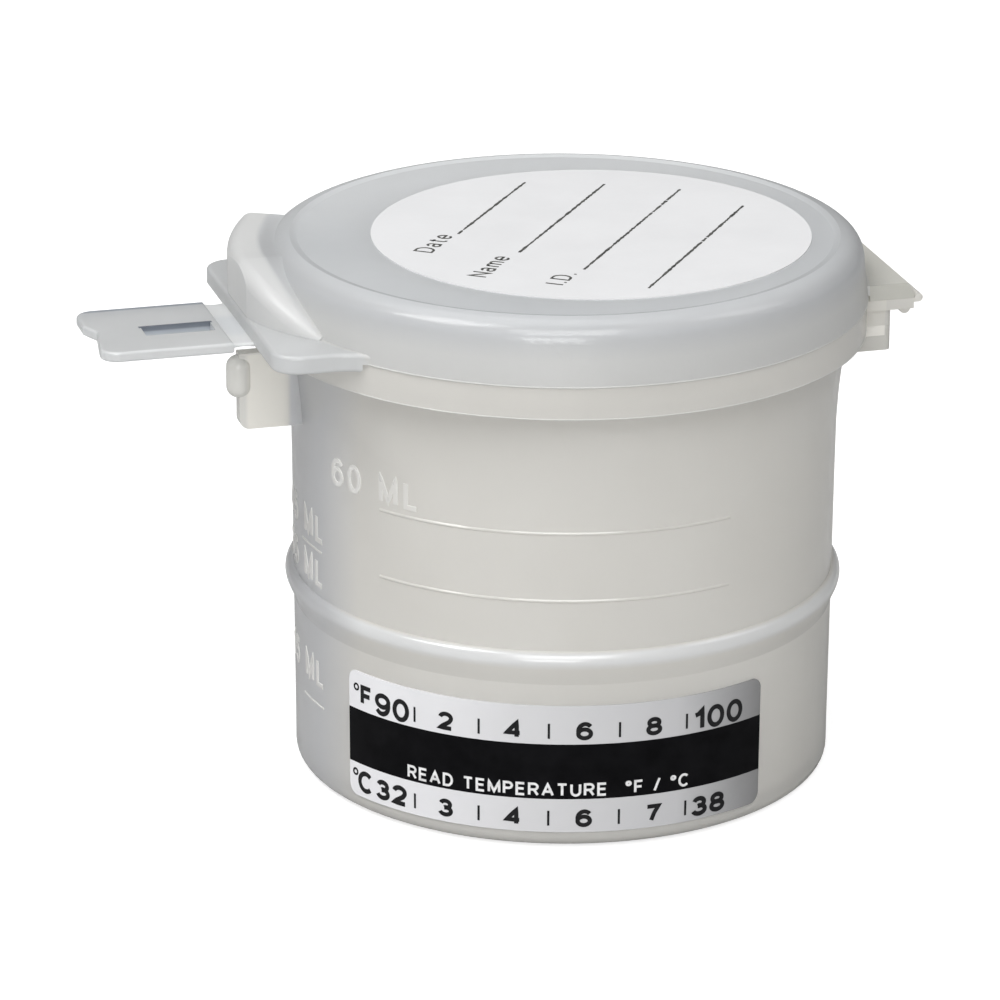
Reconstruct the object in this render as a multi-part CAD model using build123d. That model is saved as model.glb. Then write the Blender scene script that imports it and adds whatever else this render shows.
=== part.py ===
"""Specimen container with a hinged snap lid and a fold-down lock tab.

Frame: origin at the centre of the flat base, +Z up, +X towards the lid's hinge, lock tab towards -X.
All sizes are in millimetres.
"""
from build123d import *
import math
import os

# --- container: a thin-walled cup with a flared neck -------------------------------------------
BODY_R = 26.27            # outer radius at the base
BODY_DRAFT = 0.0063       # radius gained per millimetre of height
WALL = 1.2
FLOOR = 1.5
BASE_EDGE_R = 1.1         # rounding between the base and the wall
FLARE_START_Z = 33.0      # the wall starts to curve outwards here
NECK_R = 27.4             # outer radius where the neck meets the collar
COLLAR_Z = 43.8           # lower edge of the collar band
RIM_Z = 46.9              # top of the collar: the lid rests on it
COLLAR_R = 29.15
SEAT_Z = 44.8             # ledge inside the collar, below the lid's plug
MOUTH_R = 27.9            # bore of the collar above the ledge

BEAD_LOW_Z = 16.6         # stiffening bead round the wall
BEAD_CREST_Z = 19.1
BEAD_TOP_Z = 20.0
BEAD_HEIGHT = 0.8         # how far the crest stands out of the wall

MARK_LEVELS = (25.0, 31.7)    # heights of the raised volume marks
MARK_HEIGHT = 0.35
MARK_RELIEF = 0.09
PANEL_ANGLE = -108.5      # azimuth of the middle of the front panel: marks and strip
MARK_SPAN = 77.0          # degrees of wall that a mark covers

# --- lid ---------------------------------------------------------------------------------------
LID_R = 29.25             # skirt at its lower edge
SHOULDER_R = 28.8         # skirt at the shoulder
SHOULDER_Z = 51.0         # the skirt ends and the rounded shoulder starts
SHOULDER_MIDDLE = (28.1, 52.45)
CREST_R = 26.5            # ring crest at the shoulder's inner edge
CREST_Z = 53.05
DISC_Z = 52.9             # flat disc inside the ring
DISC_R = 25.8
DISC_THICK = 1.3
SKIRT_INNER_R = 28.1
PLUG_R = 27.7             # seal ring that enters the mouth
PLUG_INNER_R = 26.5
PLUG_LOW_Z = 45.1
PLUG_LEAD = 0.5           # lead-in taper at the plug's tip
SEAT_GAP = 0.02           # the closed lid's skirt lies on the collar

# --- front flange, finger hood and lock tab ------------------------------------------------------
FLANGE_X = 32.3           # distance of the straight front edge from the axis
FLANGE_HALF = 15.9
FLANGE_LOW_Z = 46.1
FLANGE_TOP_Z = 47.9
FLANGE_CORNER_R = 2.6
FLANGE_EDGE_R = 0.35
FLANGE_RUN_ANGLE = 45.0   # the flange's sides run into the skirt here, degrees from the centreline
FLANGE_RUN_SLANT = 14.0   # they meet it at this angle
FLANGE_ROOT_R = 28.6
FLANGE_CLEAR_R = 29.45    # below the rim the flange keeps clear of the collar
HOOD_R = 32.5
HOOD_TOP_Z = 52.6
HOOD_WALL = 1.2
HOOD_INNER_R = 27.3       # the hood's top reaches into the lid's shoulder as far as this
HOOD_ROOT_R = 28.5        # below, it reaches into the skirt as far as this
HOOD_ROOT_DEPTH = 0.6     # and into the flange
HOOD_FRONT_X = 32.15      # flat front of the hood
HOOD_EDGE_R = 1.3         # rounding of its top outer edge
HOOD_FAR_ANGLE = 29.0     # open end of the hood, degrees from the centreline towards +Y
HOOD_TAIL_ANGLE = 1.0     # from here towards -Y the hood tapers down to the flange
TAIL_SPAN = 24.0
TAIL_STEPS = 4
TAIL_R = 29.6             # outer radius at the end of the taper
TAIL_Z = 48.2

TAB_ROOT_X = 34.2         # where the tab's full thickness starts
TAB_NOTCH = (46.0, 0.0)   # inner corner of the notch in the tab's end, X and Y
TAB_NEAR_X = 47.0         # reach of the end on the -Y side of the notch
TAB_LIP = (46.9, 2.2)     # reach on its +Y side, and where that side starts
TAB_HALF = 6.7
TAB_LOW_Z = 45.7
TAB_TOP_Z = 46.7
TAB_CORNER_R = 1.7
TAB_EDGE_R = 0.28
LATCH_Y = -1.0            # slot, fin and knob share this plane
SLOT_X = (35.0, 41.7)
SLOT_WIDTH = 2.6
HASP_AXIS_X = 33.45       # fold line of the tab
WEB_Z = 46.3              # mid-plane of its thin web
WEB_THICK = 0.4
WEB_HALF = 6.4
WEB_FIT = 0.02            # gap between a web and the edges it joins

# --- fin and knob under the flange ---------------------------------------------------------------
FIN_X = 32.65             # outer edge of the fin
FIN_THICK = 1.4
FIN_LOW_Z = 36.3
FIN_TOP_Z = 43.9
FIN_CORNER_R = 1.0
KNOB_R = 1.2
KNOB_X = 32.55            # axis of the upright knob
KNOB_Z = (39.4, 43.6)

# --- rear hinge ----------------------------------------------------------------------------------
HINGE_X = 33.1            # fold line of the lid
HINGE_Z = 46.35
HINGE_BEAD_R = 0.42       # the thin fold is a bead round the fold line
HINGE_END_X = 32.62       # both plates end here, just short of the bead
LEAF_HALF = 8.8
LEAF_LOW_Z = 46.36
LEAF_TOP_Z = 47.9
LEAF_BEVEL = 1.0
PLATE_LOW_Z = 45.3
PLATE_TOP_Z = 46.34
RIDGE_X = 31.8            # small ridge under the plate
RIDGE_R = 0.55
BRACKET_X = 30.5
BRACKET_HALF = 8.5
BRACKET_LOW_Z = 41.2
BRACKET_WALL = 1.1

# --- paper and film ------------------------------------------------------------------------------
LABEL_R = 21.2
LABEL_CENTRE = (2.4, -0.7)
LABEL_THICK = 0.08
STRIP_Z = (1.6, 14.5)
STRIP_SPAN = 96.0         # degrees
STRIP_THICK = 0.12
STRIP_CORNER_R = 1.1


def wall_r(z):
    """Outer radius of the cup's wall at height z, below the flare."""
    return BODY_R + BODY_DRAFT * z


def flare_middle(start_r, end_r):
    """A point half-way up the arc that leaves the wall upright and reaches end_r at the collar."""
    rise, out = COLLAR_Z - FLARE_START_Z, end_r - start_r
    radius = (rise ** 2 + out ** 2) / (2 * out)
    return start_r + radius - math.sqrt(radius ** 2 - (rise / 2) ** 2), FLARE_START_Z + rise / 2


def turned(lines, span=360.0, start=0.0):
    """Revolve a closed outline drawn in X (radius) and Z."""
    outline = make_face(Wire(lines))
    solid = revolve(Plane.XZ * outline, Axis.Z, span)
    return Rot(0, 0, start) * solid


def polygon(points):
    """Closed run of straight lines through the points."""
    return list(Polyline(*points, close=True).edges())


def box(x, y, z):
    """Box between two limits on each axis."""
    size = [high - low for low, high in (x, y, z)]
    middle = [(high + low) / 2 for low, high in (x, y, z)]
    return Pos(*middle) * Box(*size)


def cylinder(radius, z):
    """Upright cylinder on the axis between two heights."""
    return Pos(0, 0, z[0]) * Cylinder(radius, z[1] - z[0], align=(Align.CENTER, Align.CENTER, Align.MIN))


def tube(outer, inner, z):
    """Upright ring between two heights."""
    return cylinder(outer, z) - cylinder(inner, (z[0] - 1, z[1] + 1))


# === container =====================================================================================

def cup():
    """Wall, floor, flared neck and collar in one section."""
    low_r, neck_r = wall_r(BASE_EDGE_R), wall_r(FLARE_START_Z)
    inner_neck_r, inner_low_r = neck_r - WALL, wall_r(FLOOR) - WALL
    inner_edge_z, throat_r = FLOOR + BASE_EDGE_R, NECK_R - WALL
    outline = [
        Line((0, 0), (low_r - BASE_EDGE_R, 0)),
        TangentArc((low_r - BASE_EDGE_R, 0), (low_r, BASE_EDGE_R), tangent=(1, 0)),
        Line((low_r, BASE_EDGE_R), (neck_r, FLARE_START_Z)),
        ThreePointArc((neck_r, FLARE_START_Z), flare_middle(neck_r, NECK_R), (NECK_R, COLLAR_Z)),
        Line((NECK_R, COLLAR_Z), (COLLAR_R, COLLAR_Z)),
        Line((COLLAR_R, COLLAR_Z), (COLLAR_R, RIM_Z)),
        Line((COLLAR_R, RIM_Z), (MOUTH_R, RIM_Z)),
        Line((MOUTH_R, RIM_Z), (MOUTH_R, SEAT_Z)),
        Line((MOUTH_R, SEAT_Z), (throat_r, SEAT_Z)),
        Line((throat_r, SEAT_Z), (throat_r, COLLAR_Z)),
        ThreePointArc((throat_r, COLLAR_Z), flare_middle(inner_neck_r, throat_r),
                      (inner_neck_r, FLARE_START_Z)),
        Line((inner_neck_r, FLARE_START_Z), (inner_low_r, inner_edge_z)),
        TangentArc((inner_low_r, inner_edge_z), (inner_low_r - BASE_EDGE_R, FLOOR), tangent=(0, -1)),
        Line((inner_low_r - BASE_EDGE_R, FLOOR), (0, FLOOR)),
        Line((0, FLOOR), (0, 0)),
    ]
    return turned(outline)


def bead():
    """Stiffening bead: a long slope below its crest and a short one above."""
    low, top = wall_r(BEAD_LOW_Z), wall_r(BEAD_TOP_Z)
    crest = wall_r(BEAD_CREST_Z) + BEAD_HEIGHT
    root = low - WALL / 2
    return turned([
        Line((root, BEAD_LOW_Z), (low, BEAD_LOW_Z)),
        Spline([(low, BEAD_LOW_Z), (low + 0.55 * BEAD_HEIGHT, BEAD_LOW_Z + 1.3), (crest, BEAD_CREST_Z),
                (top, BEAD_TOP_Z)], tangents=[(0.3, 1), (-1, 0.1)]),
        Line((top, BEAD_TOP_Z), (root, BEAD_TOP_Z)),
        Line((root, BEAD_TOP_Z), (root, BEAD_LOW_Z)),
    ])


def volume_mark(level):
    """Raised line on the front panel at one volume."""
    root, crest = wall_r(level) - WALL / 2, wall_r(level) + MARK_RELIEF
    half = MARK_HEIGHT / 2
    section = polygon([(root, level - half), (crest - MARK_RELIEF, level - half), (crest, level - half / 3),
                       (crest, level + half / 3), (crest - MARK_RELIEF, level + half), (root, level + half)])
    return turned(section, MARK_SPAN, PANEL_ANGLE - MARK_SPAN / 2)


def fin():
    """Upright fin at the front with the knob that the tab's slot snaps over."""
    inner_x = COLLAR_R - 3.5
    y = (LATCH_Y - FIN_THICK / 2, LATCH_Y + FIN_THICK / 2)
    plate = box((-FIN_X, -inner_x), y, (FIN_LOW_Z, FIN_TOP_Z))
    corner = plate.edges().filter_by(Axis.Y).sort_by(Axis.X)[:2].sort_by(Axis.Z)[0]
    plate = fillet(corner, FIN_CORNER_R)
    knob = Pos(-KNOB_X, LATCH_Y, sum(KNOB_Z) / 2) * Cylinder(KNOB_R, KNOB_Z[1] - KNOB_Z[0])
    knob = fillet(knob.edges().filter_by(GeomType.CIRCLE), KNOB_R * 0.95)
    return plate + knob


def bracket():
    """Hollow bracket below the hinge, open at the bottom, and the plate that reaches the fold line."""
    inner_x = 24.0
    shell = box((inner_x, BRACKET_X), (-BRACKET_HALF, BRACKET_HALF), (BRACKET_LOW_Z, PLATE_LOW_Z + 0.1))
    outer = shell.edges().filter_by(Axis.Z).sort_by(Axis.X)[-2:]
    shell = fillet(outer, 0.6)
    shell -= box((inner_x - 1, BRACKET_X - BRACKET_WALL),
                 (-BRACKET_HALF + BRACKET_WALL, BRACKET_HALF - BRACKET_WALL),
                 (BRACKET_LOW_Z - 1, PLATE_LOW_Z))
    plate = box((inner_x, HINGE_END_X), (-LEAF_HALF, LEAF_HALF), (PLATE_LOW_Z, PLATE_TOP_Z))
    ridge = Pos(RIDGE_X, 0, PLATE_LOW_Z) * Rot(90, 0, 0) * Cylinder(RIDGE_R, 2 * BRACKET_HALF)
    hinge_bead = Pos(HINGE_X, 0, HINGE_Z) * Rot(90, 0, 0) * Cylinder(HINGE_BEAD_R, 2 * LEAF_HALF)
    neck = box((HINGE_END_X - 0.1, HINGE_X), (-LEAF_HALF, LEAF_HALF), (HINGE_Z - HINGE_BEAD_R, PLATE_TOP_Z))
    return shell + plate + ridge + hinge_bead + neck


def inside_of_cup():
    """The cup's hollow, as a solid that keeps added ribs out of it."""
    inner_neck_r, throat_r = wall_r(FLARE_START_Z) - WALL, NECK_R - WALL
    return turned([
        Line((0, FLOOR), (inner_neck_r, FLOOR)),
        Line((inner_neck_r, FLOOR), (inner_neck_r, FLARE_START_Z)),
        ThreePointArc((inner_neck_r, FLARE_START_Z), flare_middle(inner_neck_r, throat_r),
                      (throat_r, COLLAR_Z)),
        Line((throat_r, COLLAR_Z), (throat_r, SEAT_Z)),
        Line((throat_r, SEAT_Z), (MOUTH_R, SEAT_Z)),
        Line((MOUTH_R, SEAT_Z), (MOUTH_R, RIM_Z + 1)),
        Line((MOUTH_R, RIM_Z + 1), (0, RIM_Z + 1)),
        Line((0, RIM_Z + 1), (0, FLOOR)),
    ])


def container():
    """The whole lower moulding."""
    body = cup() + bead()
    for level in MARK_LEVELS:
        body += volume_mark(level)
    return body + (fin() + bracket() - inside_of_cup())


# === lid ===========================================================================================

def cap():
    """Disc, ring crest, rounded shoulder, skirt and seal plug in one section."""
    bottom = RIM_Z + SEAT_GAP
    under = DISC_Z - DISC_THICK
    outline = [
        Line((0, DISC_Z), (DISC_R, DISC_Z)),
        Line((DISC_R, DISC_Z), (CREST_R, CREST_Z)),
        Spline([(CREST_R, CREST_Z), SHOULDER_MIDDLE, (SHOULDER_R, SHOULDER_Z)],
               tangents=[(1, -0.12), (0.1, -1)]),
        Line((SHOULDER_R, SHOULDER_Z), (LID_R, bottom)),
        Line((LID_R, bottom), (SKIRT_INNER_R, bottom)),
        Line((SKIRT_INNER_R, bottom), (SKIRT_INNER_R, under)),
        Line((SKIRT_INNER_R, under), (PLUG_R, under)),
        Line((PLUG_R, under), (PLUG_R, PLUG_LOW_Z + 2 * PLUG_LEAD)),
        Line((PLUG_R, PLUG_LOW_Z + 2 * PLUG_LEAD), (PLUG_R - PLUG_LEAD, PLUG_LOW_Z)),
        Line((PLUG_R - PLUG_LEAD, PLUG_LOW_Z), (PLUG_INNER_R, PLUG_LOW_Z)),
        Line((PLUG_INNER_R, PLUG_LOW_Z), (PLUG_INNER_R, under)),
        Line((PLUG_INNER_R, under), (0, under)),
        Line((0, under), (0, DISC_Z)),
    ]
    return turned(outline)


def flange():
    """Front flange: a plate with a straight outer edge whose sides run into the skirt."""
    run = math.radians(FLANGE_RUN_ANGLE)
    heading = run + math.radians(FLANGE_RUN_SLANT)
    root_x, root_y = -FLANGE_ROOT_R * math.cos(run), FLANGE_ROOT_R * math.sin(run)
    sine, cosine = math.sin(heading), math.cos(heading)
    side_x = -FLANGE_X + 2 * FLANGE_CORNER_R
    outline = Wire([
        Line((-FLANGE_X, -FLANGE_HALF), (-FLANGE_X, FLANGE_HALF)),
        Line((-FLANGE_X, FLANGE_HALF), (side_x, FLANGE_HALF)),
        Spline([(side_x, FLANGE_HALF), (root_x, root_y)], tangents=[(1, 0), (sine, cosine)]),
        Line((root_x, root_y), (root_x, -root_y)),
        Spline([(root_x, -root_y), (side_x, -FLANGE_HALF)], tangents=[(-sine, cosine), (-1, 0)]),
        Line((side_x, -FLANGE_HALF), (-FLANGE_X, -FLANGE_HALF)),
    ])
    plate = Pos(0, 0, FLANGE_LOW_Z) * extrude(make_face(outline), FLANGE_TOP_Z - FLANGE_LOW_Z, dir=(0, 0, 1))
    corners = plate.edges().filter_by(Axis.Z).sort_by(Axis.X)[:2]
    plate = fillet(corners, FLANGE_CORNER_R)
    rims = [e for e in plate.edges() if e.length > 1 and e.center().X < root_x - 0.5
            and abs(e.center().Z - (FLANGE_LOW_Z + FLANGE_TOP_Z) / 2) > 0.5]
    plate = fillet(rims, FLANGE_EDGE_R)
    plate -= cylinder(FLANGE_CLEAR_R, (FLANGE_LOW_Z - 1, RIM_Z + SEAT_GAP))
    return plate - cylinder(SHOULDER_R - 0.3, (RIM_Z - 1, FLANGE_TOP_Z + 1))


def wedge(start, end, radius, z):
    """Sector of a cylinder, its angles counted from the centreline towards +Y."""
    start_rad, end_rad = math.radians(180 - start), math.radians(180 - end)
    middle = (start_rad + end_rad) / 2
    reach = 2 * radius
    arms = [(reach * math.cos(a), reach * math.sin(a)) for a in (start_rad, middle, end_rad)]
    sector = make_face(Polyline((0, 0), *arms, close=True))
    return Pos(0, 0, z[0]) * extrude(sector, z[1] - z[0], dir=(0, 0, 1))


def hood_outline(outer, top, inner):
    """Section of the hood, radius and height: its top outer edge is rounded, its root lies in the lid."""
    low = FLANGE_TOP_Z - HOOD_ROOT_DEPTH
    edge = min(HOOD_EDGE_R, 0.6 * (top - low))
    knee = (HOOD_ROOT_R - 0.2, low + 0.8 * (top - low))
    return [
        Line((HOOD_ROOT_R, low), (outer, low)),
        Line((outer, low), (outer, top - edge)),
        TangentArc((outer, top - edge), (outer - edge, top), tangent=(0, 1)),
        Line((outer - edge, top), (inner, top)),
        Line((inner, top), knee),
        Line(knee, (HOOD_ROOT_R, low)),
    ]


def tail_section(step):
    """Section of the hood's taper, from its start at step 0 to its end."""
    share = step / TAIL_STEPS
    angle = math.radians(HOOD_TAIL_ANGLE - TAIL_SPAN * share)
    outer = HOOD_R + (TAIL_R - HOOD_R) * share ** 1.9
    top = HOOD_TOP_Z + (TAIL_Z - HOOD_TOP_Z) * share ** 1.6
    inner = HOOD_INNER_R + (HOOD_ROOT_R - 0.4 - HOOD_INNER_R) * share
    plane = Plane(origin=(0, 0, 0), x_dir=(-math.cos(angle), math.sin(angle), 0),
                  z_dir=(math.sin(angle), math.cos(angle), 0))
    return plane * make_face(Wire(hood_outline(outer, top, inner)))


def hood():
    """Raised finger hood: a channel round the rim, open at its +Y end, that tapers down towards -Y."""
    span = HOOD_FAR_ANGLE - HOOD_TAIL_ANGLE
    arch = turned(hood_outline(HOOD_R, HOOD_TOP_Z, HOOD_INNER_R), span, 180 - HOOD_FAR_ANGLE)
    arch += loft([tail_section(step) for step in range(TAIL_STEPS + 1)])
    arch &= box((-HOOD_FRONT_X, 0), (-HOOD_R, HOOD_R), (FLANGE_LOW_Z, HOOD_TOP_Z + 1))
    inside = (FLANGE_TOP_Z, HOOD_TOP_Z - HOOD_WALL)
    channel = tube(HOOD_R - HOOD_WALL, LID_R, inside) & wedge(2.0, HOOD_FAR_ANGLE + 5, HOOD_R, inside)
    return arch - channel


def leaf():
    """Hinge leaf on the lid, bevelled towards the fold line."""
    section = Polyline((LID_R - 6, LEAF_LOW_Z), (HINGE_END_X, LEAF_LOW_Z), (HINGE_END_X + 0.1, LEAF_LOW_Z + 0.45),
                       (HINGE_END_X - LEAF_BEVEL * 0.6, LEAF_TOP_Z), (LID_R - 6, LEAF_TOP_Z), close=True)
    plate = Plane.XZ * make_face(section)
    plate = Pos(0, LEAF_HALF, 0) * extrude(plate, 2 * LEAF_HALF)
    plate -= cylinder(FLANGE_CLEAR_R, (LEAF_LOW_Z - 1, RIM_Z + SEAT_GAP))
    return plate - cylinder(SHOULDER_R - 0.3, (RIM_Z - 1, LEAF_TOP_Z + 1))


def lid():
    """The whole lid moulding, without the lock tab."""
    return cap() + leaf() + flange() + hood()


# === lock tab ======================================================================================

def hasp():
    """Lock tab with the slot for the knob."""
    outline = Polyline((-TAB_ROOT_X, -TAB_HALF), (-TAB_NEAR_X, -TAB_HALF), (-TAB_NOTCH[0], TAB_NOTCH[1]),
                       (-TAB_LIP[0], TAB_LIP[1]), (-TAB_LIP[0], TAB_HALF), (-TAB_ROOT_X, TAB_HALF), close=True)
    plate = Pos(0, 0, TAB_LOW_Z) * extrude(make_face(outline), TAB_TOP_Z - TAB_LOW_Z, dir=(0, 0, 1))
    ends = [e for e in plate.edges().filter_by(Axis.Z)
            if e.center().X < -TAB_NOTCH[0] and abs(e.center().Y) > TAB_HALF - 0.1]
    plate = fillet(ends, TAB_CORNER_R)
    slot = box((-SLOT_X[1], -SLOT_X[0]), (LATCH_Y - SLOT_WIDTH / 2, LATCH_Y + SLOT_WIDTH / 2),
               (TAB_LOW_Z - 1, TAB_TOP_Z + 1))
    edges = plate.edges()
    plate = fillet(edges.group_by(Axis.Z)[0] + edges.group_by(Axis.Z)[-1], TAB_EDGE_R)
    return plate - slot


def hasp_web():
    """Thin web that joins the tab to the flange."""
    x = (-TAB_ROOT_X + WEB_FIT, -FLANGE_X - WEB_FIT)
    z = (WEB_Z - WEB_THICK / 2, WEB_Z + WEB_THICK / 2)
    return box(x, (-WEB_HALF, WEB_HALF), z)


# === paper and film ================================================================================

def lid_label():
    """Round paper label on the disc."""
    disc = Cylinder(LABEL_R, LABEL_THICK, align=(Align.CENTER, Align.CENTER, Align.MIN))
    return Pos(*LABEL_CENTRE, DISC_Z) * disc


def temperature_strip():
    """Thermometer film on the wall's front panel."""
    low, high = STRIP_Z
    section = polygon([(wall_r(low), low), (wall_r(low) + STRIP_THICK, low),
                       (wall_r(high) + STRIP_THICK, high), (wall_r(high), high)])
    strip = turned(section, STRIP_SPAN, PANEL_ANGLE - STRIP_SPAN / 2)
    corners = [e for e in strip.edges() if e.length < 2 * STRIP_THICK]
    return fillet(corners, STRIP_CORNER_R)


NODES = {
    "container": container,
    "lid": lid,
    "lock_tab": hasp,
    "lock_tab_web": hasp_web,
    "lid_label": lid_label,
    "temperature_strip": temperature_strip,
}

os.makedirs("parts", exist_ok=True)
for node, make in NODES.items():
    export_step(make(), f"parts/{node}.step")
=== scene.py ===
"""Looks of the specimen container: materials, raised lettering, printing, lights and camera.

Lengths named in the constants are in millimetres and become metres where objects are made.
"""
import math
import random

import bmesh
import bpy
from mathutils import Matrix, Vector


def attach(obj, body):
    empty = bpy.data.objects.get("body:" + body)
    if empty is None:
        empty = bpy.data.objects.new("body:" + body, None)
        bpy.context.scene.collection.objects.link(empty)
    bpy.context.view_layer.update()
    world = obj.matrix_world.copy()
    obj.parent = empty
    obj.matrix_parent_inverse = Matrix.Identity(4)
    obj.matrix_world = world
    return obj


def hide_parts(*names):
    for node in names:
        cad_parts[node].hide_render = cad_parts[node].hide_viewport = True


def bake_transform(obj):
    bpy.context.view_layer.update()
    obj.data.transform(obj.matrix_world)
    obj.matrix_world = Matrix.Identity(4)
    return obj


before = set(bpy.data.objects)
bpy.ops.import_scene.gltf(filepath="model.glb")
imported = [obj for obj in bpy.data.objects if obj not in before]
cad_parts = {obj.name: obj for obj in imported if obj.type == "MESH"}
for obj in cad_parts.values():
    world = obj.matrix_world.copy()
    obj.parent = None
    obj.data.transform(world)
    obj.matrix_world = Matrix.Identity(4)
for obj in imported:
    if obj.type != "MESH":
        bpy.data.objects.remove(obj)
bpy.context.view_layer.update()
MM = 0.001

# --- camera --------------------------------------------------------------------------------------
PLAN_TURN = math.radians(-16.4)       # the camera stands this far round from the -Y side
CAMERA_DISTANCE = 495.85              # horizontal distance from the container's axis
CAMERA_HEIGHT = 204.6
CAMERA_PAN = -0.0124
CAMERA_TILT = 0.3466
CAMERA_ROLL = 0.0042
FOCAL_LENGTH = 193.91
SENSOR = 36.0

# --- surfaces that the lettering lies on ------------------------------------------------------------
WALL_R = 26.27
WALL_DRAFT = 0.0063
FLARE_Z = 33.0
FLARE_ARC_R = 63.9
FILM = 0.12
LABEL_TOP_Z = 52.98
PRINT_DEPTH = 0.02
RELIEF = 0.06
EDGE_R = 0.08                         # lips of the lid's skirt and of the collar
EDGE_STEPS = 240
SKIRT_EDGE = (29.205, 46.98)
COLLAR_EDGE = (29.105, 43.86)

# --- printing on the temperature strip --------------------------------------------------------------
PANEL_ANGLE = -108.85
TICK_PITCH = 14.6
BAND_Z = (5.0, 10.6)
# Painted sheen: the film's silver is painted from bright to dark along this stretch.
SHEEN_X = (-0.024, 0.013)             # metres: the film darkens along this stretch
DULL_SILVER = (0.5, 0.5, 0.52, 1.0)

# --- printing on the label --------------------------------------------------------------------------
LABEL_TURN = math.radians(54.0)       # reading direction of the printed fields
RULE_PITCH = 7.55


def wall_r(z):
    """Outer radius of the wall at height z."""
    r = WALL_R + WALL_DRAFT * z
    if z > FLARE_Z:
        r += FLARE_ARC_R - math.sqrt(FLARE_ARC_R ** 2 - (z - FLARE_Z) ** 2)
    return r


def rig_vector(x, y, z):
    """A vector of the camera's plan (x to its right, y away from it) in the object's frame."""
    return Matrix.Rotation(PLAN_TURN, 3, "Z") @ Vector((x, y, z))


# === materials ======================================================================================

class Nodes:
    """Small helper that adds and joins the nodes of one material."""

    def __init__(self, name):
        self.material = bpy.data.materials.new(name)
        self.material.use_nodes = True
        self.tree = self.material.node_tree
        self.tree.nodes.clear()
        self.output = self.add("ShaderNodeOutputMaterial")

    def add(self, kind, inputs=None, **settings):
        node = self.tree.nodes.new(kind)
        for key, value in settings.items():
            setattr(node, key, value)
        for key, value in (inputs or {}).items():
            if isinstance(value, bpy.types.NodeSocket):
                self.tree.links.new(value, node.inputs[key])
            else:
                node.inputs[key].default_value = value
        return node

    def place(self):
        return self.add("ShaderNodeTexCoord").outputs["Object"]

    def noise(self, scale, detail=3.0, roughness=0.5):
        return self.add("ShaderNodeTexNoise", {
            "Vector": self.place(), "Scale": scale, "Detail": detail, "Roughness": roughness,
        }).outputs["Fac"]

    def spread(self, value, low, high, start=0.3, end=0.7):
        """Value from start..end rescaled to low..high."""
        return self.add("ShaderNodeMapRange", {
            "Value": value, "From Min": start, "From Max": end, "To Min": low, "To Max": high,
        }).outputs["Result"]

    def ramp(self, value, colours):
        """Colour ramp with the colours at their positions."""
        node = self.add("ShaderNodeValToRGB", {"Fac": value})
        stops = node.color_ramp.elements
        while len(stops) < len(colours):
            stops.new(0.5)
        for stop, (position, colour) in zip(stops, colours):
            stop.position = position
            stop.color = (*colour, 1.0)
        return node.outputs["Color"]

    def maths(self, operation, *values):
        return self.add("ShaderNodeMath", dict(enumerate(values)), operation=operation).outputs[0]

    def above(self, value, threshold):
        """1 where the value is above the threshold, otherwise 0."""
        return self.maths("GREATER_THAN", value, threshold)

    def below(self, value, threshold):
        return self.maths("LESS_THAN", value, threshold)

    def times(self, a, b):
        return self.maths("MULTIPLY", a, b)

    def within(self, value, span):
        """1 where the value lies in the span, otherwise 0."""
        return self.times(self.above(value, span[0]), self.below(value, span[1]))

    def rise(self, value, span):
        """0 before the span, 1 after it."""
        return self.spread(value, 0.0, 1.0, *span)

    def fall(self, value, span):
        """1 before the span, 0 after it."""
        return self.spread(value, 1.0, 0.0, *span)

    def axis(self, letter):
        return self.add("ShaderNodeSeparateXYZ", {"Vector": self.place()}).outputs[letter]

    def radius(self):
        """Distance from the container's axis."""
        flat = self.add("ShaderNodeVectorMath", {0: self.place(), 1: (1, 1, 0)},
                        operation="MULTIPLY").outputs[0]
        return self.add("ShaderNodeVectorMath", {0: flat}, operation="LENGTH").outputs["Value"]

    def blended(self, share, a, b):
        """Colour a where the share is 0, colour b where it is 1."""
        return self.add("ShaderNodeMix", {0: share, 6: a, 7: b}, data_type="RGBA").outputs[2]

    def bump(self, height, strength, distance):
        return self.add("ShaderNodeBump", {
            "Height": height, "Strength": strength, "Distance": distance,
        }).outputs["Normal"]

    def finish(self, shader):
        self.tree.links.new(shader, self.output.inputs["Surface"])
        return self.material


def milky_plastic(name, dark, light, roughness=0.37, through=0.42, glow=0.26, gloss=1.0, tinted=None,
                  clearer=None, glossier=None):
    """Unpigmented moulded plastic: milky, softly glossy, lets light through where it is thin."""
    n = Nodes(name)
    cloud = n.noise(55.0, 4.0)
    grain = n.noise(2600.0, 2.0)
    flow = n.noise(170.0, 2.0, 0.4)
    colour = n.ramp(cloud, [(0.32, dark), (0.68, light)])
    if tinted:
        colour = tinted(n, colour)
    if clearer:
        through = clearer(n)
    if glossier:
        gloss = glossier(n)
    rough = n.spread(n.noise(420.0, 3.0), roughness - 0.06, roughness + 0.06)
    waves = n.bump(flow, 0.12, 0.0006)
    normal = n.add("ShaderNodeBump", {
        "Height": grain, "Strength": 0.10, "Distance": 0.00008, "Normal": waves,
    }).outputs["Normal"]
    surface = n.add("ShaderNodeBsdfPrincipled", {
        "Base Color": colour, "Roughness": rough, "Normal": normal, "IOR": 1.45,
        "Transmission Weight": through, "Coat Weight": gloss, "Coat Roughness": 0.14, "Coat IOR": 1.6,
    })
    inner = n.add("ShaderNodeBsdfTranslucent", {"Color": colour})
    mixed = n.add("ShaderNodeMixShader", {0: glow, 1: surface.outputs[0], 2: inner.outputs[0]})
    return n.finish(mixed.outputs[0])


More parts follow.
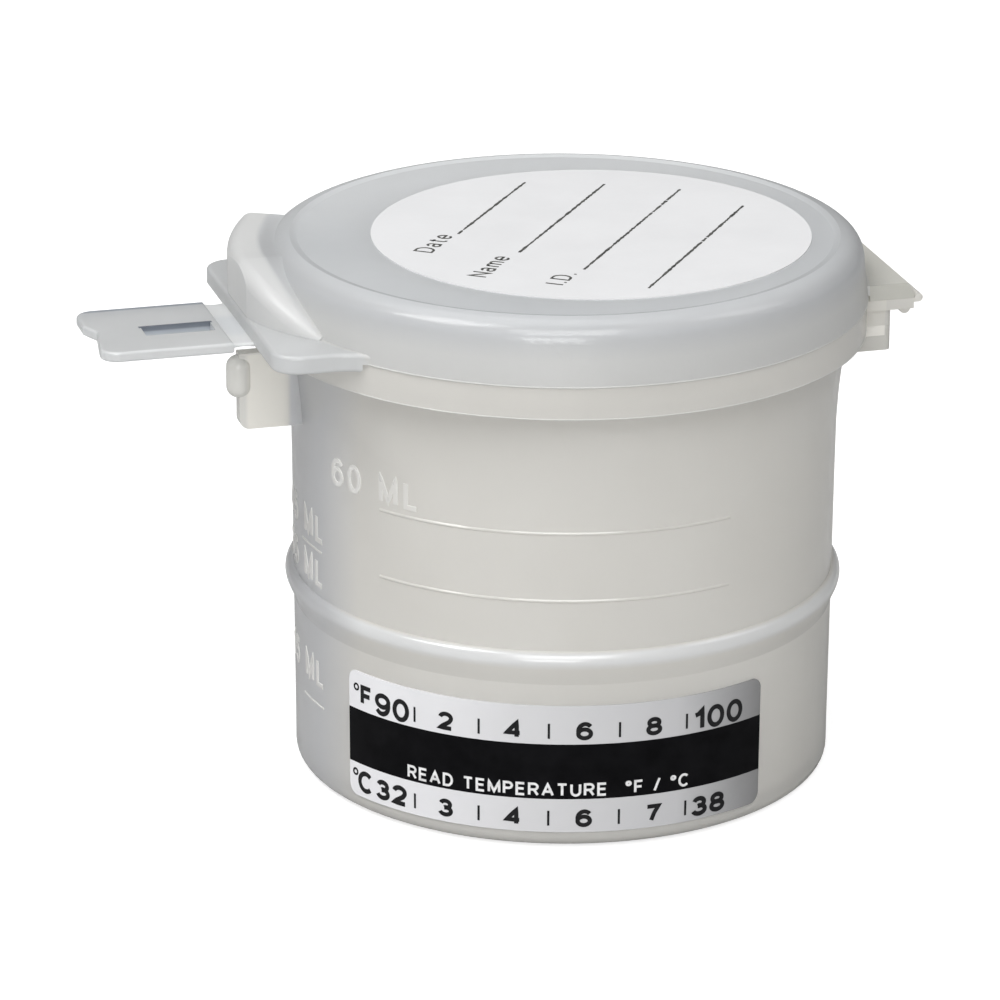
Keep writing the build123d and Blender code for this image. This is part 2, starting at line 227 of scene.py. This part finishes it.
def paper(name):
    """White label paper with a faint fibre."""
    n = Nodes(name)
    fibre = n.noise(2200.0, 5.0, 0.65)
    tone = n.ramp(n.noise(160.0, 3.0), [(0.3, (0.645, 0.647, 0.655)), (0.7, (0.672, 0.674, 0.682))])
    shader = n.add("ShaderNodeBsdfPrincipled", {
        "Base Color": tone, "Roughness": n.spread(fibre, 0.55, 0.72), "Specular IOR Level": 0.3,
        "Normal": n.bump(fibre, 0.25, 0.00004),
    })
    return n.finish(shader.outputs["BSDF"])


def film(name):
    """Glossy thermometer film: silvery, with a painted sheen that darkens along X, and a black band between
    two heights.
    """
    n = Nodes(name)
    band = n.within(n.axis("Z"), [z * MM for z in BAND_Z])
    # Painted sheen: a reflection painted into the silver, bright at -X and dark at +X.
    sheen = n.ramp(n.rise(n.axis("X"), SHEEN_X), [
        (0.0, (0.78, 0.78, 0.80)), (0.35, (0.60, 0.60, 0.61)),
        (0.75, (0.51, 0.51, 0.52)), (1.0, (0.21, 0.21, 0.21))])
    silver = n.blended(n.spread(n.noise(240.0, 4.0, 0.6), 0.0, 0.12), sheen, DULL_SILVER)
    black = n.ramp(n.noise(300.0, 4.0, 0.6), [(0.35, (0.003, 0.003, 0.0035)), (0.75, (0.007, 0.007, 0.008))])
    colour = n.blended(band, silver, black)
    smudge = n.noise(700.0, 4.0, 0.6)
    shader = n.add("ShaderNodeBsdfPrincipled", {
        "Base Color": colour, "Roughness": n.spread(smudge, 0.30, 0.42),
        "Specular IOR Level": 0.035,
        "Normal": n.bump(n.noise(190.0, 2.0), 0.10, 0.0003),
    })
    return n.finish(shader.outputs["BSDF"])


def ink(name, dark, light, roughness=0.5):
    """Printing ink that covers a little unevenly."""
    n = Nodes(name)
    patch = n.noise(1500.0, 4.0, 0.6)
    shader = n.add("ShaderNodeBsdfPrincipled", {
        "Base Color": n.ramp(patch, [(0.35, dark), (0.65, light)]),
        "Roughness": n.spread(patch, roughness - 0.08, roughness + 0.08), "Specular IOR Level": 0.2,
        "Normal": n.bump(patch, 0.1, 0.00002),
    })
    return n.finish(shader.outputs["BSDF"])


# === mesh helpers ===================================================================================

def mesh_object(name, bm, material, body=None, smooth=True):
    """An object made from a bmesh in millimetres. It rides on the body, if one is given."""
    bmesh.ops.recalc_face_normals(bm, faces=bm.faces)
    for face in bm.faces:
        face.smooth = smooth
    mesh = bpy.data.meshes.new(name)
    bm.to_mesh(mesh)
    bm.free()
    mesh.transform(Matrix.Scale(MM, 4))
    mesh.materials.append(material)
    obj = bpy.data.objects.new(name, mesh)
    bpy.context.scene.collection.objects.link(obj)
    if body:
        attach(obj, body)
    return obj


# Centre lines of the letters in a box one high: width, then strokes. A pair is a point, six numbers are an
# arc (centre, radii, first and last angle).
LETTERS = {
    "0": (0.56, ".5,.5,.5,.5,90,450"),
    "1": (0.30, "0,.74 .45,.80 .95,1 .95,0"),
    "2": (0.56, ".5,.71,.48,.29,170,-20 .80,.44 .30,.18 .02,0 1,0"),
    "3": (0.56, ".47,.75,.42,.25,165,-90 .36,.5|.36,.5 .47,.27,.5,.27,90,-165"),
    "4": (0.58, ".76,0 .76,1 0,.28 1,.28"),
    "5": (0.56, ".92,1 .2,1 .08,.47|.08,.47 .47,.32,.50,.32,130,-155"),
    "6": (0.56, ".5,.31,.5,.31,180,540|.55,.5,.55,.5,190,40"),
    "7": (0.54, "0,1 1,1 .62,.52 .36,0"),
    "8": (0.56, ".5,.76,.42,.24,90,450|.5,.27,.5,.27,90,450"),
    "9": (0.56, ".5,.69,.5,.31,0,360|.45,.5,.55,.5,10,-140"),
    "°": (0.26, ".5,.86,.5,.14,90,450"),
    "/": (0.34, "0,-.04 1,1.04"),
    ".": (0.10, "0,.02 1,.02"),
    "A": (0.66, "0,0 .5,1 1,0|.2,.33 .8,.33"),
    "C": (0.64, ".52,.5,.52,.5,45,315"),
    "D": (0.58, "0,0 0,1 .42,1 .42,.5,.58,.5,88,-88 .42,0 0,0"),
    "E": (0.50, "1,1 0,1 0,0 1,0|0,.52 .92,.52"),
    "F": (0.48, "1,1 0,1 0,0|0,.5 .9,.5"),
    "I": (0.04, ".5,0 .5,1"),
    "L": (0.46, "0,1 0,0 1,0"),
    "M": (0.70, "0,0 0,1 .5,.06 1,1 1,0"),
    "N": (0.58, "0,0 0,1 1,0 1,1"),
    "P": (0.52, "0,0 0,1 .55,1 .55,.74,.45,.26,88,-88 .55,.48 0,.48"),
    "R": (0.56, "0,0 0,1 .55,1 .55,.74,.42,.26,88,-88 .55,.48 0,.48|.55,.48 1,0"),
    "T": (0.58, "0,1 1,1|.5,1 .5,0"),
    "U": (0.56, "0,1 0,.36 .5,.36,.5,.36,180,360 1,1"),
    "a": (0.42, ".1,.58 .46,.5,.40,.22,150,0 .86,.5 .86,.05 1,0|.86,.38 .42,.19,.42,.19,80,350"),
    "e": (0.44, "0,.36 .98,.36 .5,.36,.5,.36,0,320"),
    "m": (0.68, "0,0 0,.72|0,.5 .25,.5,.25,.2,170,0 .5,0|.5,.5 .75,.5,.25,.2,170,0 1,0"),
    "t": (0.28, ".4,.92 .4,.14 .75,.14,.35,.14,180,270 1,0|0,.7 1,.7"),
    " ": (0.20, ""),
}


def centre_lines(text, cap, weight, width=1.0, gap=0.2):
    """The strokes of a text as runs of points, its capitals cap high, and the text's length."""
    runs = []
    left = weight / 2
    for letter in text:
        share, strokes = LETTERS[letter]
        wide, high = share * width * cap, cap - weight
        for stroke in filter(None, strokes.split("|")):
            run = []
            for item in stroke.split():
                numbers = [float(v) for v in item.split(",")]
                if len(numbers) == 2:
                    run.append((numbers[0], numbers[1]))
                    continue
                cx, cy, rx, ry, first, last = numbers
                steps = max(4, int(abs(last - first) / 12))
                for i in range(steps + 1):
                    a = math.radians(first + (last - first) * i / steps)
                    run.append((cx + rx * math.cos(a), cy + ry * math.sin(a)))
            runs.append([Vector((left + x * wide, weight / 2 + y * high)) for x, y in run])
        left += wide + weight + gap * cap
    return runs, left - gap * cap - weight / 2


def divided(run, step):
    """The run with points added, so that none are further apart than the step."""
    points = [run[0]]
    for a, b in zip(run, run[1:]):
        if (b - a).length < 1e-6:
            continue
        count = max(1, math.ceil((b - a).length / step))
        points += [a.lerp(b, i / count) for i in range(1, count + 1)]
    return points


def ribbon(bm, run, half, crown):
    """A raised ribbon along the run: u right, v up, w out from 0 to 1; its top is crown times as wide."""
    closed = (run[0] - run[-1]).length < 1e-4 and len(run) > 3
    points = divided(run, 0.35)
    if closed:
        points.pop()
    count = len(points)
    rings = []
    for i, p in enumerate(points):
        before = points[i - 1] if closed or i else None
        after = points[(i + 1) % count] if closed or i < count - 1 else None
        ways = [(b - a).normalized() for a, b in ((before, p), (p, after)) if a is not None and b is not None]
        way = sum(ways, Vector((0, 0))).normalized()
        stretch = 1.0 / max(0.5, way.dot(ways[0]))
        side = Vector((-way.y, way.x)) * half * stretch
        ring = []
        for reach, w in ((1, 0), (-1, 0), (-crown, 1), (crown, 1)):
            spot = p + side * reach
            ring.append(bm.verts.new((spot.x, spot.y, w)))
        rings.append(ring)
    pairs = list(zip(rings, rings[1:]))
    if closed:
        pairs.append((rings[-1], rings[0]))
    for a, b in pairs:
        for i in range(4):
            bm.faces.new((a[i], a[(i + 1) % 4], b[(i + 1) % 4], b[i]))
    if not closed:
        bm.faces.new(rings[0])
        bm.faces.new(rings[-1][::-1])


def letters(text, cap, weight, width=1.0, crown=1.0, gap=0.2):
    """Raised text from u = 0, standing on v = 0, and its length."""
    bm = bmesh.new()
    runs, length = centre_lines(text, cap, weight, width, gap)
    for run in runs:
        ribbon(bm, run, weight / 2, crown)
    return bm, length


def shift(bm, u=0.0, v=0.0):
    for vert in bm.verts:
        vert.co.x += u
        vert.co.y += v
    return bm


def join(parts):
    """One bmesh from several."""
    whole = bmesh.new()
    for part in parts:
        mesh = bpy.data.meshes.new("part")
        part.to_mesh(mesh)
        part.free()
        whole.from_mesh(mesh)
        bpy.data.meshes.remove(mesh)
    return whole


def wrap(bm, azimuth, lift, depth):
    """Bend a flat layout round the wall: u = 0 comes to the azimuth, v is the height."""
    for vert in bm.verts:
        u, v, w = vert.co
        angle = math.radians(azimuth) + u / WALL_R
        r = wall_r(v) + lift + w * depth
        vert.co = Vector((r * math.cos(angle), r * math.sin(angle), v))
    return bm


def centred(text, cap, weight, azimuth, z, width=1.0, gap=0.2):
    """Letters centred on an azimuth, already placed in the strip's flat layout."""
    bm, length = letters(text, cap, weight, width, gap=gap)
    along = math.radians(azimuth - PANEL_ANGLE) * WALL_R
    return shift(bm, along - length / 2, z)


# === pieces =========================================================================================

def strip_printing():
    """Scale numbers, degree signs and ticks of both rows."""
    parts = []
    rows = (
        (11.03, 1.86, "2468", (("90", -143.95, 2.33, 10.80), ("100", -71.95, 2.32, 10.75),
                               ("F", -151.05, 2.08, 11.18), ("°", -154.1, 2.3, 10.95))),
        (2.12, 1.83, "3467", (("32", -144.2, 2.07, 2.12), ("38", -74.1, 2.03, 1.93),
                              ("C", -151.5, 2.26, 2.12), ("°", -154.6, 2.3, 2.1))),
    )
    for low, cap, digits, extras in rows:
        for i, digit in enumerate(digits):
            parts.append(centred(digit, cap, 0.42, PANEL_ANGLE + (i - 1.5) * TICK_PITCH, low, 1.13))
        for text, azimuth, size, z in extras:
            weight = 0.2 if text == "°" else 0.47
            parts.append(centred(text, size, weight, azimuth, z, 1.0 if text == "°" else 1.13, 0.12))
        for i in range(5):
            tick = bmesh.new()
            along = math.radians((i - 2) * TICK_PITCH) * WALL_R
            ribbon(tick, [Vector((along, low + 0.15)), Vector((along, low + 1.68))], 0.11, 1.0)
            parts.append(tick)
    return wrap(join(parts), PANEL_ANGLE, FILM - 0.003, PRINT_DEPTH)


def band_printing():
    """Plain words along the bottom of the black band."""
    part = centred("READ TEMPERATURE  °F / °C", 1.36, 0.24, PANEL_ANGLE - 0.5, 5.28, 1.05, 0.17)
    return wrap(part, PANEL_ANGLE, FILM - 0.003, PRINT_DEPTH)


def wall_lettering():
    """Raised volume numbers on the wall."""
    parts = []
    for text, end, z in (("60 ML", -136.9, 32.35), ("45 ML", -166.2, 25.4),
                         ("35 ML", -166.5, 20.85), ("15 ML", -166.7, 10.4)):
        bm, length = letters(text, 2.95, 0.60, 0.86, 0.75, 0.2)
        parts.append(shift(bm, math.radians(end) * WALL_R - length, z))
    for z in (24.6, 19.6, 8.5):
        bm = bmesh.new()
        ribbon(bm, [Vector((math.radians(a) * WALL_R, z)) for a in (-178, -167)], 0.14, 0.5)
        parts.append(bm)
    return wrap(join(parts), 0.0, -0.05, RELIEF + 0.05)


def rule(rng, length, breaks):
    """Printed rule with a slightly uneven edge, from u = 0; breaks are gaps along it."""
    parts = []
    spans = []
    start = 0.0
    for gap in breaks + (length,):
        spans.append((start, gap))
        start = gap + 0.25
    for low, high in spans:
        bm = bmesh.new()
        steps = max(2, int((high - low) / 0.35))
        rows = []
        for i in range(steps + 1):
            u = low + (high - low) * i / steps
            half = 0.135 * rng.uniform(0.6, 1.3)
            drift = rng.uniform(-0.02, 0.02)
            rows.append([bm.verts.new((u, drift + side * half, w)) for side, w in
                         ((-1, 0), (1, 0), (1, 1), (-1, 1))])
        for a, b in zip(rows, rows[1:]):
            for i in range(4):
                bm.faces.new((a[i], a[(i + 1) % 4], b[(i + 1) % 4], b[i]))
        bm.faces.new(rows[0])
        bm.faces.new(rows[-1][::-1])
        parts.append(bm)
    return join(parts)


def label_printing():
    """Three named fields and a spare rule, flat on the label."""
    rng = random.Random(7)
    parts = []
    for row, (text, text_u, rule_u, length, breaks) in enumerate((
            ("Date", -11.1, -4.4, 18.7, (1.2,)), ("Name", -16.5, -7.9, 24.4, ()),
            ("I.D.", -16.2, -10.8, 28.3, (19.8, 22.4, 24.1)), ("", 0.0, -14.1, 28.5, (15.6, 17.0)))):
        v = 9.33 - row * RULE_PITCH
        if text:
            bm, _ = letters(text, 1.95, 0.24, 1.12, 1.0, 0.2)
            parts.append(shift(bm, text_u, v + 0.1))
        parts.append(shift(rule(rng, length, breaks), rule_u, v))
    bm = join(parts)
    turn = Matrix.Rotation(LABEL_TURN, 4, "Z")
    for vert in bm.verts:
        u, v, w = vert.co
        place = turn @ Vector((u, v, 0.0))
        vert.co = Vector((place.x, place.y, LABEL_TOP_Z - 0.003 + w * PRINT_DEPTH))
    return bm


def edge_roll(radius, z):
    """Thin rounded lip round a moulded edge."""
    bm = bmesh.new()
    rings = []
    for i in range(EDGE_STEPS):
        a = 2 * math.pi * i / EDGE_STEPS
        ring = []
        for j in range(8):
            b = 2 * math.pi * j / 8
            r = radius + EDGE_R * math.cos(b)
            ring.append(bm.verts.new((r * math.cos(a), r * math.sin(a), z + EDGE_R * math.sin(b))))
        rings.append(ring)
    for a, b in zip(rings, rings[1:] + rings[:1]):
        for j in range(8):
            bm.faces.new((a[j], a[(j + 1) % 8], b[(j + 1) % 8], b[j]))
    return bm


def web_sheet():
    """Thin web between the flange and the lock tab, waisted at the fold and rounded at its sides."""
    bm = bmesh.new()
    root, tip, z, half_y = -32.2, -34.3, 46.3, 6.4
    across, along = 32, 12
    rows = []
    for i in range(along + 1):
        t = i / along
        waist = math.sin(math.pi * t)
        ring = []
        for side in range(2 * across):
            a = 2 * math.pi * side / (2 * across)
            y = (half_y - 0.15 * waist) * math.cos(a)
            blunt = math.copysign(min(1.0, 6 * abs(math.sin(a))), math.sin(a))
            ring.append(bm.verts.new((root + (tip - root) * t, y, z + (0.22 - 0.06 * waist) * blunt)))
        rows.append(ring)
    for a, b in zip(rows, rows[1:]):
        for i in range(2 * across):
            j = (i + 1) % (2 * across)
            bm.faces.new((a[i], a[j], b[j], b[i]))
    bm.faces.new(rows[0])
    bm.faces.new(rows[-1][::-1])
    return bm


# === build ==========================================================================================

WARM_DARK = (0.890, 0.875, 0.835)
WARM_LIGHT = (0.925, 0.912, 0.875)
COOL_DARK = (0.818, 0.838, 0.855)
COOL_LIGHT = (0.858, 0.876, 0.890)
CREAM_PAINTED_LIGHT = (0.98, 0.962, 0.905, 1.0)
BRACKET_PAINTED_SHADE = (0.69, 0.68, 0.64, 1.0)
KNOB_GREY = (0.84, 0.835, 0.80, 1.0)
BEAD_PAINTED_HIGHLIGHT = (0.97, 0.985, 1.0, 1.0)
SIDE_PAINTED_REFLECTION = (0.79, 0.80, 0.82, 1.0)
FLANGE_GREY = (0.775, 0.785, 0.79, 1.0)
BACK_PAINTED_LIGHT = (0.94, 0.955, 0.965, 1.0)
# Pale colour of the two patches on the fold.
FOLD_PATCH_WHITE = (0.94, 0.945, 0.94, 1.0)
GLOOM = (0.36, 0.40, 0.47, 1.0)

# Where the tints lie, in metres. A pair is where a tint starts and where it ends, or fades from and to.
SLOT_WALL_X = (-0.0419, -0.0348)
SLOT_WALL_Y = (0.0001, 0.0006)
SLOT_WALL_Z = (0.0459, 0.0467)
TAB_FAR_EDGE_Y = (0.0057, 0.0062)
BELOW_COLLAR_Z = 0.0437
WALL_OUT_R = (0.0276, 0.0284)
WALL_IN_R = (0.0276, 0.0280)
WINDOW_X = (0.0276, 0.0298)
WINDOW_LOW_Z = 0.0427
BRACKET_SIDE_Y = -0.0082
KNOB_OUT_R = (0.0318, 0.0322)
BEAD_RISE_Z = (0.0183, 0.0190)
BEAD_TOP_Z = 0.0205
BEAD_OUT_R = (0.0265, 0.0269)
PAINTED_REFLECTION_X = (-0.0258, -0.0236)
RIM_R = (0.0258, 0.0282)
RIM_END_R = (0.0293, 0.0296)
RIM_TURN_Z = (0.0494, 0.0518)
BACK_Y = (0.002, 0.020)
LEAF_R = 0.0294
LEAF_SIDE_Y = (-0.0087, -0.0086)
FRONT_OUT_R = (0.0293, 0.0298)
TAPER_Y = (-0.0045, 0.0055)
HOOD_LOW_Z = 0.0480
RIM_CLEAR_R = (0.0258, 0.0288)
RIM_GLOSS_R = (0.0262, 0.0275)


def fold_pale_patches(n, colour):
    """Two pale patches on the fold."""
    wave = n.maths("COSINE", n.maths("ADD", n.times(n.axis("Y"), 520.0), 0.3))
    pale = n.spread(wave, 1.0, 0.0, -0.3, 0.5)
    return n.blended(n.times(pale, 0.7), colour, FOLD_PATCH_WHITE)


def slot_shade(n, colour):
    """Blue-grey gloom in the far wall of the slot and along the tab's far edge."""
    wall = n.times(n.within(n.axis("Y"), SLOT_WALL_Y), n.within(n.axis("X"), SLOT_WALL_X))
    depth = n.ramp(n.rise(n.axis("Z"), SLOT_WALL_Z), [
        (0.0, (0.62, 0.66, 0.71)), (0.35, (0.46, 0.51, 0.58)),
        (0.55, (0.19, 0.22, 0.27)), (1.0, (0.15, 0.175, 0.22))])
    dim = n.blended(wall, colour, depth)
    return n.blended(n.spread(n.axis("Y"), 0.0, 0.85, *TAB_FAR_EDGE_Y), dim, GLOOM)


def outboard(n):
    """1 on the rib, knob and bracket outside the wall, 0 on the cup."""
    return n.times(n.below(n.axis("Z"), BELOW_COLLAR_Z), n.rise(n.radius(), WALL_OUT_R))


def body_tints(n, colour):
    """Painted light and shade: the thin rib is painted creamier than the wall to look lit through, the knob's
    outside is greyer, the bracket is painted greyer as shade, and a creamy window in its side is painted
    light.

    Painted highlight: the top of the bead is paler. Painted reflection: the wall's -X side is a little bluer.
    """
    x, z = n.axis("X"), n.axis("Z")
    rib = n.times(outboard(n), n.below(x, 0.0))
    # Painted shade: the bracket is painted greyer than the wall.
    colour = n.blended(n.times(outboard(n), n.above(x, 0.0)), colour, BRACKET_PAINTED_SHADE)
    # Painted light: a creamy patch in the bracket's side stands in for light shining through it.
    window = n.times(n.above(z, WINDOW_LOW_Z), n.below(n.axis("Y"), BRACKET_SIDE_Y))
    window = n.times(window, n.within(x, WINDOW_X))
    # Painted light: the rib and that patch get the creamy colour, brighter than the wall.
    colour = n.blended(n.maths("MAXIMUM", rib, window), colour, CREAM_PAINTED_LIGHT)
    colour = n.blended(n.times(rib, n.rise(n.radius(), KNOB_OUT_R)), colour, KNOB_GREY)
    # Painted highlight: the bead's upper part is painted paler and bluer.
    bead_highlight_mask = n.times(n.rise(z, BEAD_RISE_Z), n.rise(n.radius(), BEAD_OUT_R))
    colour = n.blended(n.times(bead_highlight_mask, n.below(z, BEAD_TOP_Z)), colour, BEAD_PAINTED_HIGHLIGHT)
    # Painted reflection: the wall's -X side is painted darker and bluer.
    side = n.times(n.fall(x, PAINTED_REFLECTION_X), n.fall(n.radius(), WALL_IN_R))
    return n.blended(side, colour, SIDE_PAINTED_REFLECTION)


def outboard_denser(n):
    """The parts outside the wall let less light through than the wall."""
    return n.maths("SUBTRACT", 0.36, n.times(outboard(n), 0.26))


def hood_only(n):
    """1 on the hood, 0 on the rest of the lid."""
    high = n.times(n.above(n.axis("Z"), HOOD_LOW_Z), n.below(n.axis("X"), 0.0))
    return n.times(high, n.rise(n.radius(), FRONT_OUT_R))


def lid_tints(n, colour):
    """Painted shade greys the shoulder and skirt, most on top of the shoulder, and the hood towards its near
    end; painted light makes the +Y side paler; the flange is greyer; the leaf has the body's creamier tone,
    with painted shade on its -Y face.
    """
    x, y, z, r = n.axis("X"), n.axis("Y"), n.axis("Z"), n.radius()
    rim = n.times(n.spread(r, 0.0, 0.9, *RIM_R), n.spread(r, 1.0, 0.4, *RIM_END_R))
    # Painted shade: the shoulder and skirt are painted greyer, darkest on top of the shoulder.
    rim_painted_shade = n.ramp(n.rise(z, RIM_TURN_Z), [(0.0, (0.835, 0.835, 0.822)), (1.0, (0.715, 0.725, 0.738))])
    colour = n.blended(rim, colour, rim_painted_shade)
    # Painted light: the lid's +Y side is painted paler.
    colour = n.blended(n.spread(y, 0.0, 0.9, *BACK_Y), colour, BACK_PAINTED_LIGHT)
    # The leaf takes the body's creamier tone, with painted shade darkening its -Y face.
    leaf_tone_and_shade = n.ramp(n.fall(y, LEAF_SIDE_Y), [(0.0, (0.88, 0.875, 0.83)), (1.0, (0.74, 0.735, 0.69))])
    colour = n.blended(n.times(n.above(r, LEAF_R), n.above(x, 0.0)), colour, leaf_tone_and_shade)
    colour = n.blended(n.times(n.rise(r, FRONT_OUT_R), n.below(x, 0.0)), colour, FLANGE_GREY)
    # Painted shade: the hood is painted darker towards its near end.
    hood_painted_shade = n.ramp(n.fall(y, TAPER_Y), [(0.0, (0.84, 0.843, 0.836)), (1.0, (0.79, 0.794, 0.792))])
    return n.blended(hood_only(n), colour, hood_painted_shade)


def rim_clearer(n):
    """The lid's skirt and shoulder let more light through than its disc and its hood."""
    return n.maths("SUBTRACT", n.spread(n.radius(), 0.24, 0.40, *RIM_CLEAR_R), n.times(hood_only(n), 0.16))


def lid_gloss(n):
    """Full gloss on the disc, less on the shoulder and skirt, little on the hood."""
    return n.maths("SUBTRACT", n.spread(n.radius(), 1.0, 0.45, *RIM_GLOSS_R), n.times(hood_only(n), 0.35))


body_plastic = milky_plastic("milky_body", WARM_DARK, WARM_LIGHT, tinted=body_tints, clearer=outboard_denser)
lid_plastic = milky_plastic("milky_lid", COOL_DARK, COOL_LIGHT, tinted=lid_tints, clearer=rim_clearer,
                            glossier=lid_gloss)
tab_plastic = milky_plastic("milky_tab", (0.805, 0.815, 0.818), (0.845, 0.854, 0.856), tinted=slot_shade)
web_plastic = milky_plastic("milky_web", COOL_DARK, COOL_LIGHT, through=0.4, glow=0.3, gloss=0.3,
                            tinted=fold_pale_patches)
raised_plastic = milky_plastic("milky_raised", (0.90, 0.893, 0.868), (0.94, 0.933, 0.91),
                               0.45, 0.26, 0.26, 0.15)
edge_plastic = milky_plastic("milky_edge", (0.84, 0.84, 0.825), (0.89, 0.89, 0.875), 0.45, 0.3, 0.3, 0.25)
label_paper = paper("label_paper")
strip_film = film("strip_film")
black_ink = ink("black_ink", (0.004, 0.004, 0.005), (0.012, 0.012, 0.013), 0.55)
white_ink = ink("white_ink", (0.62, 0.62, 0.62), (0.80, 0.80, 0.80))
grey_ink = ink("grey_ink", (0.035, 0.036, 0.034), (0.11, 0.11, 0.10), 0.6)

for node, material in (("container", body_plastic), ("lid", lid_plastic), ("lock_tab", tab_plastic),
                       ("lid_label", label_paper), ("temperature_strip", strip_film)):
    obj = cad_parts[node]
    for slot in obj.material_slots:
        slot.material = material

mesh_object("strip_printing", strip_printing(), black_ink, "container", smooth=False)
mesh_object("band_printing", band_printing(), white_ink, "container", smooth=False)
mesh_object("wall_lettering", wall_lettering(), raised_plastic, "container", smooth=False)
mesh_object("label_printing", label_printing(), grey_ink, "lid", smooth=False)
mesh_object("skirt_edge", edge_roll(*SKIRT_EDGE), edge_plastic, "lid")
mesh_object("collar_edge", edge_roll(*COLLAR_EDGE), edge_plastic, "container")
web = mesh_object("tab_web", web_sheet(), web_plastic)
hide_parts("lock_tab_web")
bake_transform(web)


# === floor, light and camera =========================================================================

def seen_white(n, shader, strength):
    """The shader, with white added for what the camera sees."""
    path = n.add("ShaderNodeLightPath")
    level = n.times(path.outputs["Is Camera Ray"], strength)
    glow = n.add("ShaderNodeEmission", {"Color": (1, 1, 1, 1), "Strength": level}).outputs[0]
    return n.add("ShaderNodeAddShader", {0: shader, 1: glow}).outputs[0]


floor_nodes = Nodes("floor")
grain = floor_nodes.noise(9.0, 2.0)
tone = floor_nodes.ramp(grain, [(0.3, (0.50, 0.50, 0.50)), (0.7, (0.52, 0.52, 0.52))])
diffuse = floor_nodes.add("ShaderNodeBsdfDiffuse", {"Color": tone}).outputs[0]
floor_material = floor_nodes.finish(seen_white(floor_nodes, diffuse, 0.70))
floor_mesh = bpy.data.meshes.new("floor")
reach = 6.0
floor_mesh.from_pydata([(-reach, -reach, 0), (reach, -reach, 0), (reach, reach, 0), (-reach, reach, 0)], [],
                       [(0, 1, 2, 3)])
floor_mesh.materials.append(floor_material)
floor = bpy.data.objects.new("floor", floor_mesh)
floor.location.z = -0.0002
bpy.context.scene.collection.objects.link(floor)

world = bpy.data.worlds.new("world")
bpy.context.scene.world = world
world.use_nodes = True
tree = world.node_tree
tree.nodes.clear()
path = tree.nodes.new("ShaderNodeLightPath")
level = tree.nodes.new("ShaderNodeMapRange")
level.inputs["To Min"].default_value = 0.20
level.inputs["To Max"].default_value = 1.0
tree.links.new(path.outputs["Is Camera Ray"], level.inputs["Value"])
background = tree.nodes.new("ShaderNodeBackground")
background.inputs["Color"].default_value = (1, 1, 1, 1)
tree.links.new(level.outputs["Result"], background.inputs["Strength"])
tree.links.new(background.outputs[0], tree.nodes.new("ShaderNodeOutputWorld").inputs["Surface"])


AIM_Z = 0.025                         # metres: the lamps point at this height on the axis


def softbox(name, around, elevation, distance, size, power):
    """Area light round the object: around is the angle to the camera's right, seen from above."""
    light = bpy.data.lights.new(name, "AREA")
    light.shape = "RECTANGLE"
    light.size, light.size_y = size
    light.energy = power
    flat = distance * math.cos(elevation)
    height = distance * math.sin(elevation) + AIM_Z
    place = rig_vector(flat * math.sin(around), -flat * math.cos(around), height)
    lamp = bpy.data.objects.new(name, light)
    lamp.location = place
    lamp.rotation_euler = (Vector((0, 0, AIM_Z)) - place).to_track_quat("-Z", "Y").to_euler()
    bpy.context.scene.collection.objects.link(lamp)


softbox("key", math.radians(-68), math.radians(58), 0.8, (0.34, 0.36), 3.2)
softbox("front", math.radians(2), math.radians(46), 1.0, (0.6, 0.5), 5.0)
softbox("fill", math.radians(-4), math.radians(12), 1.0, (0.4, 0.3), 3.0)
softbox("side", math.radians(98), math.radians(50), 0.9, (0.30, 0.40), 1.1)
softbox("top", math.radians(-150), math.radians(70), 0.9, (0.6, 0.6), 1.5)

camera_data = bpy.data.cameras.new("camera")
camera_data.lens = FOCAL_LENGTH
camera_data.sensor_width = SENSOR
camera_data.sensor_height = SENSOR
camera_data.sensor_fit = "HORIZONTAL"
camera_data.clip_start = 0.01
camera = bpy.data.objects.new("camera", camera_data)
forward = Vector((math.sin(CAMERA_PAN) * math.cos(CAMERA_TILT), math.cos(CAMERA_PAN) * math.cos(CAMERA_TILT),
                  -math.sin(CAMERA_TILT)))
level_right = Vector((math.cos(CAMERA_PAN), -math.sin(CAMERA_PAN), 0.0))
level_up = level_right.cross(forward)
right = math.cos(CAMERA_ROLL) * level_right + math.sin(CAMERA_ROLL) * level_up
up = -math.sin(CAMERA_ROLL) * level_right + math.cos(CAMERA_ROLL) * level_up
axes = [rig_vector(*axis) for axis in (right, up, -forward)]
place = rig_vector(0.0, -CAMERA_DISTANCE * MM, CAMERA_HEIGHT * MM)
camera.matrix_world = Matrix.Translation(place) @ Matrix(axes).transposed().to_4x4()
bpy.context.scene.collection.objects.link(camera)
bpy.context.scene.camera = camera
bpy.context.scene.view_settings.view_transform = "Standard"
